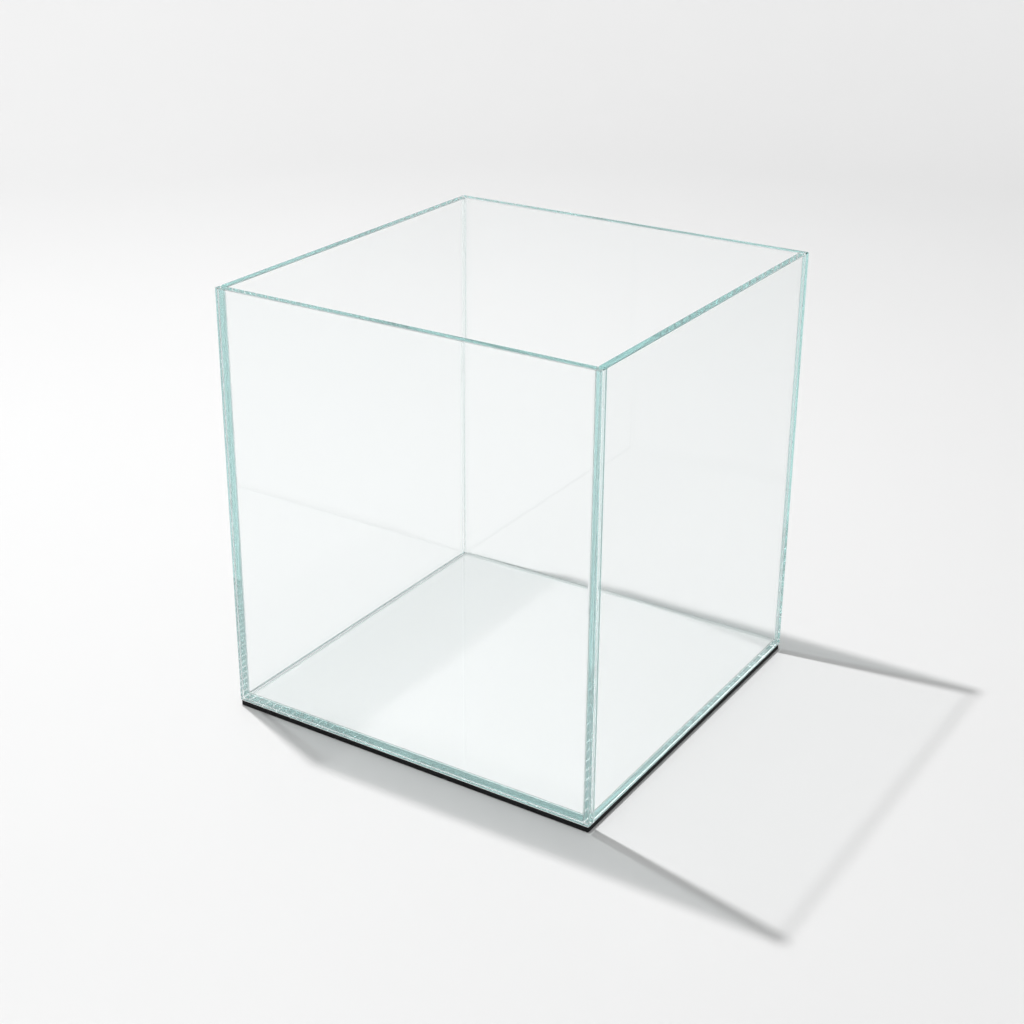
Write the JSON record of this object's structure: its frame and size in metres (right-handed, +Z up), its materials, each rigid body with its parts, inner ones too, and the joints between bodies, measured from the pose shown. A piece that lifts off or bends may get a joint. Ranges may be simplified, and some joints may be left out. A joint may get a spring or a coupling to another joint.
{
  "type": "rimless glass aquarium",
  "caption": "Open-topped cube aquarium of clear bonded glass panes with ground edges, standing on a thin black levelling mat.",
  "frame": {"origin": "centre of the footprint at the underside of the levelling mat, on the surface that the tank stands on", "axes": "+Z up, the front pane faces -Y, +X along the front pane"},
  "size_m": [0.3, 0.3, 0.3244],
  "materials": {
    "glass": "clear low-iron float glass, pale teal at its ground and polished edges",
    "silicone": "clear cured silicone, slightly milky",
    "facing": "smooth white",
    "foam": "matt black closed-cell foam"
  },
  "bodies": {
    "root": {"front_pane": "glass", "back_pane": "glass", "left_pane": "glass", "right_pane": "glass", "bottom_pane": "glass", "front_left_seam": "silicone", "front_right_seam": "silicone", "back_left_seam": "silicone", "back_right_seam": "silicone", "front_bottom_seam": "silicone", "back_bottom_seam": "silicone", "left_bottom_seam": "silicone", "right_bottom_seam": "silicone", "mat_facing": "facing", "levelling_mat": "foam"}
  },
  "joints": []
}
